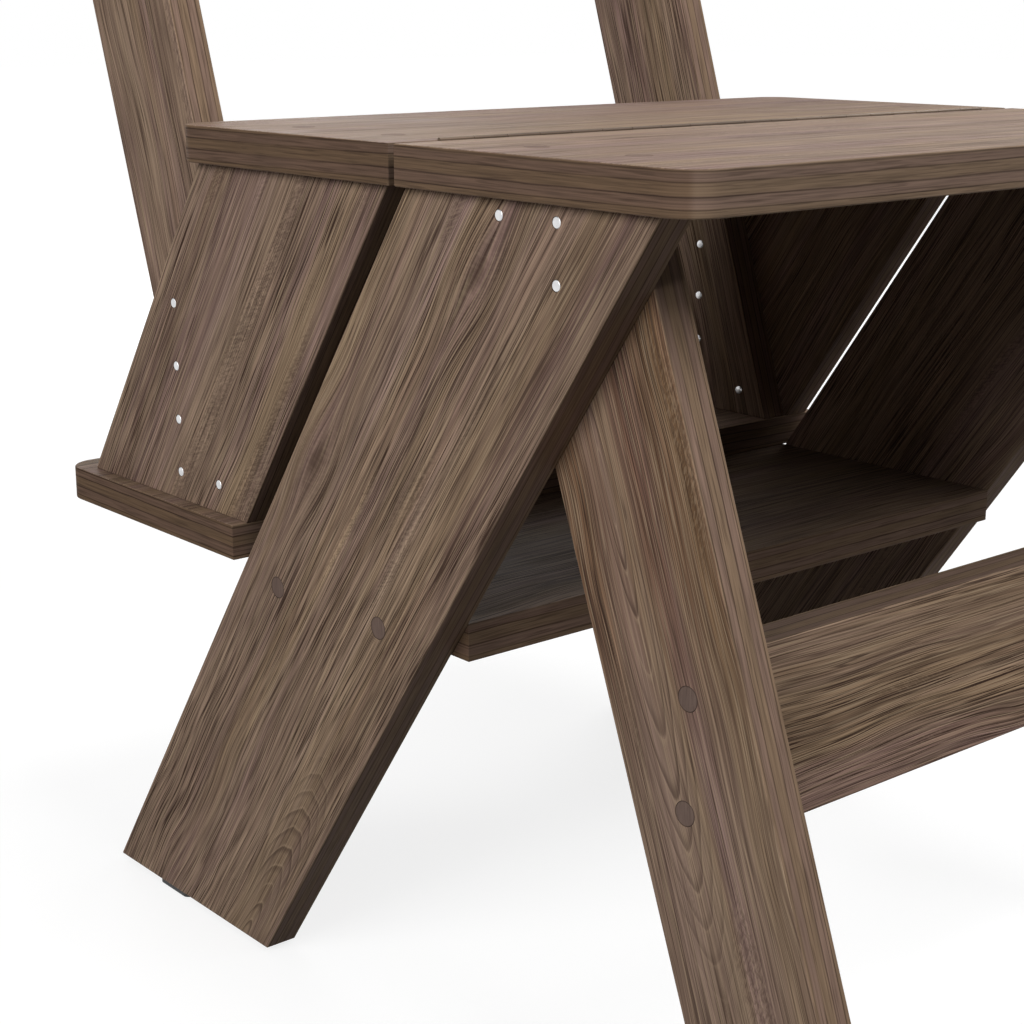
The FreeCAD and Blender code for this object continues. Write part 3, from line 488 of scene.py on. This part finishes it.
def rolled_outline(tree, given, outline, around):
    """Closed shell made by turning an outline round an axis.

    A point of the outline is a radius and a depth, each as shares of Radius, Length and Rim."""
    def size_of(shares):
        total = times(tree, given["Radius"], shares[0])
        total = calc(tree, "MULTIPLY_ADD", given["Length"], shares[1], total)
        return calc(tree, "MULTIPLY_ADD", given["Rim"], shares[2], total)

    # a flat net, one row for each point of the outline, is rolled round the axis and closed
    same_place = 2e-6
    last = len(outline) - 1
    net = grow(tree, "GeometryNodeMeshGrid", {"Size X": float(last), "Size Y": 1.0, "Vertices X": last + 1,
                                              "Vertices Y": around + 1}).outputs[0]
    spot = coordinates_of(tree, grow(tree, "GeometryNodeInputPosition").outputs[0])
    row = calc(tree, "ROUND", calc(tree, "ADD", spot[0], last / 2))
    picked = []
    for which in range(2):
        switch = grow(tree, "GeometryNodeIndexSwitch", data_type="FLOAT")
        while len(switch.index_switch_items) <= last:
            switch.index_switch_items.new()
        tree.links.new(row, switch.inputs[0])
        for i, point in enumerate(outline):
            tree.links.new(size_of(point[which]), switch.inputs[i + 1])
        picked.append(switch.outputs[0])
    radius, depth = picked
    angle = times(tree, spot[1], math.tau)
    rolled = spot_at(tree, times(tree, radius, calc(tree, "COSINE", angle)),
                     times(tree, radius, calc(tree, "SINE", angle)), times(tree, depth, -1.0))
    shell = grow(tree, "GeometryNodeSetPosition", {"Geometry": net, "Position": rolled}).outputs[0]
    return grow(tree, "GeometryNodeMergeByDistance", {"Geometry": shell, "Distance": same_place}).outputs[0]


def cross_recess(tree, given, piece):
    """Piece with a cross cut into its outer end."""
    slot_length = times(tree, given["Radius"], 1.15)
    slot_width = times(tree, given["Radius"], 0.26)
    slot_depth = times(tree, given["Rim"], 1.1)
    bars = grow(tree, "GeometryNodeJoinGeometry")
    for long_side, short_side in ((slot_length, slot_width), (slot_width, slot_length)):
        bar_size = spot_at(tree, long_side, short_side, slot_depth)
        tree.links.new(grow(tree, "GeometryNodeMeshCube", {"Size": bar_size}).outputs[0], bars.inputs[0])
    cutter = grow(tree, "GeometryNodeMeshBoolean", operation="DIFFERENCE", solver="EXACT")
    tree.links.new(piece, cutter.inputs[0])
    tree.links.new(bars.outputs[0], cutter.inputs[1])
    cutter.inputs["Self Intersection"].default_value = True
    return cutter.outputs[0]


def smooth_but_arrises(tree, piece):
    """Piece shaded smooth, with its sharp bends kept, that remembers each place on it."""
    sharp_bend = 0.6
    here = grow(tree, "GeometryNodeInputPosition").outputs[0]
    piece = grow(tree, "GeometryNodeStoreNamedAttribute", {
        "Geometry": piece, "Name": "piece_place", "Value": here},
        data_type="FLOAT_VECTOR", domain="POINT").outputs[0]
    piece = grow(tree, "GeometryNodeSetShadeSmooth", {"Geometry": piece, "Shade Smooth": True},
                 domain="FACE").outputs[0]
    bend = grow(tree, "GeometryNodeInputMeshEdgeAngle").outputs[0]
    return grow(tree, "GeometryNodeSetShadeSmooth", {
        "Geometry": piece, "Selection": calc(tree, "GREATER_THAN", bend, sharp_bend), "Shade Smooth": False},
        domain="EDGE").outputs[0]


def own_number(tree, highest, seed):
    """A random number for each piece."""
    node = grow(tree, "FunctionNodeRandomValue", {"Min": 0.0, "Max": highest, "Seed": seed},
                data_type="FLOAT")
    return next(out for out in node.outputs if out.enabled)


def turned_tree(name, outline, around, crossed=False):
    """Tree that sets a turned piece on each place, points it outwards and turns it its own way."""
    tree = bpy.data.node_groups.new(name, "GeometryNodeTree")
    tree.interface.new_socket("Places", in_out="INPUT", socket_type="NodeSocketGeometry")
    for size in ("Radius", "Length", "Rim"):
        tree.interface.new_socket(size, in_out="INPUT", socket_type="NodeSocketFloat")
    tree.interface.new_socket("Finish", in_out="INPUT", socket_type="NodeSocketMaterial")
    tree.interface.new_socket("Pieces", in_out="OUTPUT", socket_type="NodeSocketGeometry")
    given = grow(tree, "NodeGroupInput").outputs
    piece = rolled_outline(tree, given, outline, around)
    if crossed:
        piece = cross_recess(tree, given, piece)
    piece = smooth_but_arrises(tree, piece)
    outward = grow(tree, "GeometryNodeInputNamedAttribute", {"Name": "outward"},
                   data_type="FLOAT_VECTOR").outputs[0]
    way = grow(tree, "FunctionNodeAlignRotationToVector", {"Vector": outward}, axis="Z").outputs[0]
    spin = grow(tree, "FunctionNodeAxisAngleToRotation", {
        "Axis": (0.0, 0.0, 1.0), "Angle": own_number(tree, math.tau, seed=5)}).outputs[0]
    way = grow(tree, "FunctionNodeRotateRotation", {0: way, 1: spin}, rotation_space="LOCAL").outputs[0]
    pieces = grow(tree, "GeometryNodeInstanceOnPoints", {
        "Points": given["Places"], "Instance": piece, "Rotation": way}).outputs[0]
    pieces = grow(tree, "GeometryNodeStoreNamedAttribute", {
        "Geometry": pieces, "Name": "piece_tone", "Value": own_number(tree, 1.0, seed=11)},
        data_type="FLOAT", domain="INSTANCE").outputs[0]
    pieces = grow(tree, "GeometryNodeRealizeInstances", {"Geometry": pieces}).outputs[0]
    pieces = grow(tree, "GeometryNodeSetMaterial", {
        "Geometry": pieces, "Material": given["Finish"]}).outputs[0]
    grow(tree, "NodeGroupOutput", {"Pieces": pieces})
    return tree


def set_turned(node, body, tree, outward, rim, finish):
    """Sets turned pieces in place of a node's plain ones, with their radius and length."""
    places = bpy.data.meshes.new(f"{node}_places")
    ways, ends = [], []
    for low, high in loose_boxes(node):
        middle, half = (low + high) / 2, (high - low) / 2
        way = Vector(outward)
        if way.x:
            way.x = math.copysign(way.x, middle.x) * math.copysign(1.0, way.x)
        reach = Vector(part * abs(turn) for part, turn in zip(half, way))
        ends.append(middle + Vector(part * turn for part, turn in zip(reach, way)))
        ways.append(way)
    places.from_pydata(ends, [], [])
    aim = places.attributes.new("outward", "FLOAT_VECTOR", "POINT")
    for i, way in enumerate(ways):
        aim.data[i].vector = way

    # the pieces of a node are alike, so the last one gives the sizes of all
    radius = max(part for part, turn in zip(half, way) if not turn)
    length = 2 * reach.length
    holder = bpy.data.objects.new(f"{node}_holder", places)
    bpy.context.scene.collection.objects.link(holder)
    maker = holder.modifiers.new("turned", "NODES")
    maker.node_group = tree
    given = {item.name: item.identifier for item in tree.interface.items_tree if item.in_out == "INPUT"}
    for size, value in (("Radius", radius), ("Length", length), ("Rim", rim), ("Finish", finish)):
        maker[given[size]] = value
    made = bpy.data.meshes.new_from_object(holder.evaluated_get(bpy.context.evaluated_depsgraph_get()))
    holder.modifiers.clear()
    bpy.data.objects.remove(holder)
    piece = bpy.data.objects.new(f"{node}_turned", made)
    bpy.context.scene.collection.objects.link(piece)
    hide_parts(node)
    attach(piece, body)


def on_piece(tree):
    """Place on a turned piece in its own coordinates, and its distance from the axis."""
    place = grow(tree, "ShaderNodeAttribute", attribute_name="piece_place").outputs["Vector"]
    flat = move(tree, "MULTIPLY", place, (1.0, 1.0, 0.0))
    return place, grow(tree, "ShaderNodeVectorMath", {0: flat}, operation="LENGTH").outputs["Value"]


def metal(name, shade, worn, rough, metallic, marks_per_metre):
    """Metal with turning marks round its axis, faint stains, and paler high spots worn by rubbing."""
    material, tree = new_finish(name)
    from_axis = on_piece(tree)[1]
    marks = grow(tree, "ShaderNodeTexNoise", {"W": times(tree, from_axis, marks_per_metre), "Scale": 1.0,
                                              "Detail": 3.0}, noise_dimensions="1D").outputs[0]
    seen = grow(tree, "ShaderNodeTexCoord").outputs["Object"]
    stain = grow(tree, "ShaderNodeTexNoise", {"Vector": seen, "Scale": 260.0, "Detail": 3.0}).outputs[0]
    stain = ease(tree, stain, 0.38, 0.68)
    tone = shaded(tree, blend(tree, stain, worn, shade), swing(tree, marks, 0.3, 1.0))
    coat(tree, tone, calc(tree, "MULTIPLY_ADD", stain, 0.16, rough), marks, strength=0.12, depth=0.00002,
         metallic=metallic)
    return material


# radii and depths of an outline, as shares of radius, length and rim
axis, half_out, full_out, inside_rim = (0, 0, 0), (0.5, 0, 0), (1, 0, 0), (1, 0, -1)
face, rim_down, far_end = (0, 0, 0), (0, 0, 1), (0, 1, 0)
chamfered_head = ((axis, face), (half_out, face), (inside_rim, face), (full_out, rim_down))
pin_outline = chamfered_head + ((full_out, (-0.38, 1, 0)), ((0.86, 0, 0), (-0.18, 1, 0)),
                                (half_out, (-0.05, 1, 0)), (axis, far_end))
pin_tree = turned_tree("turned_pin", pin_outline, around=40)
pin_steel = metal("turned_steel", colour(200, 200, 201), colour(216, 216, 217), rough=0.42, metallic=1.0,
                  marks_per_metre=9000.0)
pin_chamfer = 0.0004
to_the_sides = (1.0, 0.0, 0.0)
set_turned("leg_pins", "front_half", pin_tree, to_the_sides, pin_chamfer, pin_steel)

# Stretcher: one board on edge between the front legs, in the same oiled hardwood.
# Zinc-plated screws hold it through the front legs; their heads sit deep under flush wooden plugs.
side_to_side = (1.0, 0.0, 0.0)
upwards = (0.0, 0.0, 1.0)
# painted light makes the whole board lighter, and painted shade makes its narrow faces, the top edge in the
# seat's shade among them, much darker
board_wood("front_stretcher", side_to_side, upwards, heart=(0.01, 0.05, 0.06), number=6.0, rust_and_shade_share=0.3,
           depth=1.14, edge=0.38)
zinc = metal("zinc_plate", colour(160, 160, 152), colour(186, 184, 170), rough=0.36, metallic=1.0,
             marks_per_metre=7000.0)
put_on("stretcher_screws", zinc)
plug_radius = 0.00575
plug_bevel = 0.0002


def plug_finish():
    """Darker oiled wood of a plug, its fibres turned its own way, with a dark line of glue round it."""
    material, tree = new_finish("plug_wood")
    glue_start, glue_end = plug_radius - 0.0006, plug_radius - 0.0002
    place, from_axis = on_piece(tree)
    tone = grow(tree, "ShaderNodeAttribute", attribute_name="piece_tone").outputs["Fac"]
    shifted = move(tree, "ADD", place, spot_at(tree, 0.0, tone, tone))
    fibre = streaks(tree, shifted, 60.0, 900.0, detail=3.0)
    pore = ease(tree, streaks(tree, shifted, 160.0, 1800.0, detail=1.0, shift=(4.0, 2.0, 7.0)), 0.58, 0.72)
    wood = stops(tree, calc(tree, "MULTIPLY_ADD", tone, 0.3, fibre), (0.3, colour(97, 81, 74)),
                 (0.6, colour(108, 91, 83)), (0.9, colour(119, 101, 92)))
    wood = blend(tree, times(tree, pore, 0.35), wood, colour(84, 69, 62))
    wood = blend(tree, ease(tree, from_axis, glue_start, glue_end, end=0.6), wood, colour(48, 37, 32))
    coat(tree, wood, calc(tree, "MULTIPLY_ADD", fibre, -0.2, 0.95), calc(tree, "SUBTRACT", fibre, pore),
         strength=0.3, depth=0.0002, gloss=oil_gloss)
    return material


plug_wood = plug_finish()
plug_outline = chamfered_head + ((full_out, far_end), (axis, far_end))
plug_tree = turned_tree("flush_plug", plug_outline, around=48)
set_turned("stretcher_plugs", "front_half", plug_tree, to_the_sides, plug_bevel, plug_wood)

# Low step: one wide board of the same oiled hardwood, its grain running between the slanted legs.
# It is screwed through the slanted legs, with the screw heads under plugs like the stretcher's.
front_to_back = (0.0, 1.0, 0.0)
# painted shade darkens the whole board, which lies in the shade under the seat, and painted light lifts its
# narrow faces again
board_wood("low_step", side_to_side, front_to_back, heart=(0.02, 0.07, 0.04), number=3.0, rust_and_shade_share=0.3,
           depth=0.52, edge=1.6)
put_on("low_step_screws", zinc)
set_turned("low_step_plugs", "front_half", plug_tree, to_the_sides, plug_bevel, plug_wood)

# Front seat board: the front half of the seat, one oiled hardwood board with rounded front corners.
# Four screws from above, under plugs, hold it on the slanted legs' and front legs' top ends.
board_wood("front_seat_board", side_to_side, front_to_back, heart=(0.03, 0.09, 0.03), number=7.0, depth=0.82,
           lively=0.6, gloss=0.1)
put_on("front_seat_screws", zinc)
set_turned("front_seat_plugs", "front_half", plug_tree, upwards, plug_bevel, plug_wood)

# Glides: four small black pads of moulded plastic under the feet, with rounded corners.
# Their skin has the fine even grain of a spark-cut mould, scuffed paler where they touch the floor.


def moulded_plastic():
    """Black plastic with a fine grain, scuffed near the floor."""
    material, tree = new_finish("moulded_black")
    scuff_height = 0.0012
    seen = grow(tree, "ShaderNodeTexCoord").outputs["Object"]
    skin = grow(tree, "ShaderNodeTexNoise", {"Vector": seen, "Scale": 1900.0, "Detail": 2.0}).outputs[0]
    scuff = grow(tree, "ShaderNodeTexNoise", {"Vector": seen, "Scale": 420.0, "Detail": 3.0}).outputs[0]
    low_down = ease(tree, coordinates_of(tree, seen)[2], 0.0, scuff_height, 1.0, 0.1)
    scuff = times(tree, ease(tree, scuff, 0.5, 0.75), low_down)
    black = blend(tree, skin, colour(14, 14, 15), colour(24, 24, 25))
    black = blend(tree, scuff, black, colour(58, 56, 54))
    coat(tree, black, calc(tree, "MULTIPLY_ADD", scuff, 0.2, 0.55), skin, strength=0.4, depth=0.0001)
    return material


moulded_black = moulded_plastic()
for glide in ("left_rear_glide", "right_rear_glide", "left_front_glide", "right_front_glide"):
    put_on(glide, moulded_black)

# Piano hinge: two thin bronze leaves in the split of the seat, rolled into knuckles round one long pin.
# The bronze is darkened, with brown rubbed places, and small cross-head screws hold the leaves to the boards.
brown_bronze = colour(82, 67, 55)
bronze_metallic = 0.5
dark_bronze = metal("brown_bronze", brown_bronze, colour(108, 90, 74), rough=0.58, metallic=bronze_metallic,
                    marks_per_metre=5000.0)
put_on("hinge_pin", dark_bronze)


def drawn_strip():
    """Browned bronze strip with fine drawing lines along it, and broad stains."""
    material, tree = new_finish("drawn_bronze_strip")
    seen = grow(tree, "ShaderNodeTexCoord").outputs["Object"]
    drawn = streaks(tree, seen, 18.0, 2400.0, detail=3.0)
    stain = ease(tree, streaks(tree, seen, 9.0, 55.0, detail=3.0, shift=(2.0, 7.0, 4.0)), 0.36, 0.68)
    bronze = blend(tree, stain, brown_bronze, colour(101, 84, 69))
    bronze = shaded(tree, bronze, swing(tree, drawn, 0.7, 1.0))
    coat(tree, bronze, calc(tree, "MULTIPLY_ADD", stain, -0.14, 0.66), drawn, strength=0.15, depth=0.00003,
         metallic=bronze_metallic)
    return material


drawn_bronze = drawn_strip()
for leaf in ("front_hinge_leaf", "rear_hinge_leaf"):
    put_on(leaf, drawn_bronze)
screw_outline = ((axis, face), ((0.62, 0, 0), (0, 0, 0.12)), ((0.9, 0, 0), (0, 0, 0.4)),
                 (full_out, (0, 0, 0.8)), (full_out, rim_down), (half_out, rim_down), (half_out, (-1, 1, 0)),
                 (axis, far_end))
screw_tree = turned_tree("cross_head_screw", screw_outline, around=32, crossed=True)
hinge_screw_head = 0.0005
backwards = (0.0, 1.0, 0.0)
forwards = (0.0, -1.0, 0.0)
set_turned("front_hinge_screws", "front_half", screw_tree, backwards, hinge_screw_head, dark_bronze)
set_turned("rear_hinge_screws", "rear_half", screw_tree, forwards, hinge_screw_head, dark_bronze)

# Rear seat board: the rear half of the seat, an oiled hardwood board as wide as the front one.
# It is screwed down onto two cleats, with plugs like the front board's.
board_wood("rear_seat_board", side_to_side, front_to_back, heart=(-0.03, 0.08, 0.03), number=8.0, depth=0.78,
           lively=0.6, gloss=0.06)
put_on("rear_seat_screws", zinc)
set_turned("rear_seat_plugs", "rear_half", plug_tree, upwards, plug_bevel, plug_wood)

# Side panels: two oiled hardwood boards, parallel to the slanted legs and a finger's width behind them.
# Hardwood cleats are screwed to their inner faces with zinc-plated screws, and carry the rear seat board.
board_wood("left_side_panel", down_the_leg, across_the_leg, heart=(-0.02, 0.05, 0.06), number=9.0)
board_wood("right_side_panel", down_the_leg, across_the_leg, heart=(0.02, 0.05, 0.06), number=10.0)
board_wood("left_seat_cleat", front_to_back, upwards, heart=(0.02, 0.05, 0.04), number=11.0)
board_wood("right_seat_cleat", front_to_back, upwards, heart=(0.02, 0.05, 0.04), number=12.0)
cleat_screw_head = 0.0022
to_the_middle = (-1.0, 0.0, 0.0)
set_turned("cleat_screws", "rear_half", screw_tree, to_the_middle, cleat_screw_head, zinc)

# Top step: the oiled hardwood board under the side panels and back posts, the ladder's top tread.
# Screws from below, under plugs, hold it to the panels.
downwards = (0.0, 0.0, -1.0)
board_wood("top_step", side_to_side, front_to_back, heart=(0.02, 0.07, 0.04), number=13.0, rust_and_shade_share=0.3,
           depth=0.8)
put_on("top_step_screws", zinc)
set_turned("top_step_plugs", "rear_half", plug_tree, downwards, plug_bevel, plug_wood)

# Back posts: two straight oiled hardwood boards that lean back from the top step past the seat.
# Steel pins like the legs' hold them to the side panels' inner faces; turned over, the posts are ladder legs.
post_slant = math.radians(17.92)
up_the_post = (0.0, math.sin(post_slant), math.cos(post_slant))
across_the_post = (0.0, math.cos(post_slant), -math.sin(post_slant))
board_wood("left_back_post", up_the_post, across_the_post, heart=(0.02, 0.05, 0.04), number=14.0)
board_wood("right_back_post", up_the_post, across_the_post, heart=(-0.02, 0.05, 0.04), number=15.0)
set_turned("post_pins", "rear_half", pin_tree, to_the_sides, pin_chamfer, pin_steel)

# Back rails: two oiled hardwood boards between the back posts, set in line with the posts' lean.
# Each is screwed through the posts, with the screw heads under plugs.
board_wood("upper_back_rail", side_to_side, up_the_post, heart=(0.01, 0.06, 0.05), number=16.0)
board_wood("lower_back_rail", side_to_side, up_the_post, heart=(-0.01, 0.06, 0.05), number=17.0)
put_on("back_rail_screws", zinc)
set_turned("back_rail_plugs", "rear_half", plug_tree, to_the_sides, plug_bevel, plug_wood)

# Studio: a pale plain floor without a visible edge, in front of a white background.
# Four soft round lamps stand about the chair, and the camera looks from where the picture was taken.
floor_reach = 14.0
floor_mesh = bpy.data.meshes.new("studio_floor")
floor_mesh.from_pydata([(-floor_reach, -floor_reach, 0.0), (floor_reach, -floor_reach, 0.0),
                        (floor_reach, floor_reach, 0.0), (-floor_reach, floor_reach, 0.0)],
                       [], [(0, 1, 2, 3)])
studio_floor = bpy.data.objects.new("studio_floor", floor_mesh)
bpy.context.scene.collection.objects.link(studio_floor)
white = (1.0, 1.0, 1.0, 1.0)


def seen_rays(tree):
    """Share of the rays that look at the background: the camera's, and those that gloss or glass sends on."""
    rays = grow(tree, "ShaderNodeLightPath").outputs
    return calc(tree, "MAXIMUM", rays["Is Camera Ray"],
                calc(tree, "MAXIMUM", rays["Is Glossy Ray"], rays["Is Transmission Ray"]))


def floor_finish():
    """Floor that shows soft shadows near the chair and turns white farther out, with little bounce."""
    material, tree = new_finish("pale_floor")
    tree.nodes.clear()
    shadow_grey, bounce_grey = (0.24, 0.24, 0.24, 1.0), (0.13, 0.13, 0.13, 1.0)
    white_from, white_at = 0.9, 3.2
    distance = grow(tree, "ShaderNodeVectorMath", {0: grow(tree, "ShaderNodeTexCoord").outputs["Object"]},
                    operation="LENGTH").outputs["Value"]
    brightness = ease(tree, distance, white_from, white_at, 0.8, 1.0)
    glow = grow(tree, "ShaderNodeEmission", {"Color": white, "Strength": brightness})
    paint = grow(tree, "ShaderNodeBsdfDiffuse", {"Color": shadow_grey})
    lit = grow(tree, "ShaderNodeAddShader", {0: glow.outputs[0], 1: paint.outputs[0]})
    bounce = grow(tree, "ShaderNodeBsdfDiffuse", {"Color": bounce_grey})
    shown = grow(tree, "ShaderNodeMixShader", {0: seen_rays(tree), 1: bounce.outputs[0], 2: lit.outputs[0]})
    grow(tree, "ShaderNodeOutputMaterial", {"Surface": shown.outputs[0]})
    return material


floor_mesh.materials.append(floor_finish())


def studio_background():
    """White background that gives the chair only a faint fill of light."""
    fill_strength = 0.025
    world = bpy.data.worlds.new("studio")
    world.use_nodes = True
    tree = world.node_tree
    tree.nodes.clear()
    shown = grow(tree, "ShaderNodeBackground", {"Color": white, "Strength": 1.0})
    fill = grow(tree, "ShaderNodeBackground", {"Color": white, "Strength": fill_strength})
    sky = grow(tree, "ShaderNodeMixShader", {0: seen_rays(tree), 1: fill.outputs[0], 2: shown.outputs[0]})
    grow(tree, "ShaderNodeOutputWorld", {"Surface": sky.outputs[0]})
    return world


bpy.context.scene.world = studio_background()
bpy.context.scene.view_settings.view_transform = "Standard"

chair_middle = Vector((0.0, 0.0, 0.4))
lamp_width = 1.8
for name, spot, watts in (("left_lamp", (-2.6, -0.6, 1.6), 62.0), ("front_lamp", (0.2, -1.8, 3.0), 92.0),
                          ("rear_lamp", (0.8, 2.5, 1.0), 30.0), ("right_lamp", (2.6, 0.2, 1.8), 36.0)):
    lamp = bpy.data.lights.new(name, "AREA")
    lamp.shape = "DISK"
    lamp.size = lamp_width
    lamp.energy = watts
    lamp_object = bpy.data.objects.new(name, lamp)
    lamp_object.location = spot
    lamp_object.rotation_euler = (chair_middle - Vector(spot)).to_track_quat("-Z", "Y").to_euler()
    bpy.context.scene.collection.objects.link(lamp_object)

camera_place = (-0.74384, -0.77415, 0.51365)
looks_down, looks_right = 14.88, 40.16
camera = bpy.data.cameras.new("picture_camera")
camera.sensor_width = 36.0
camera.lens = 67.53
camera_object = bpy.data.objects.new("picture_camera", camera)
camera_object.location = camera_place
camera_object.rotation_euler = (math.radians(90.0 - looks_down), 0.0, math.radians(-looks_right))
bpy.context.scene.collection.objects.link(camera_object)
bpy.context.scene.camera = camera_object
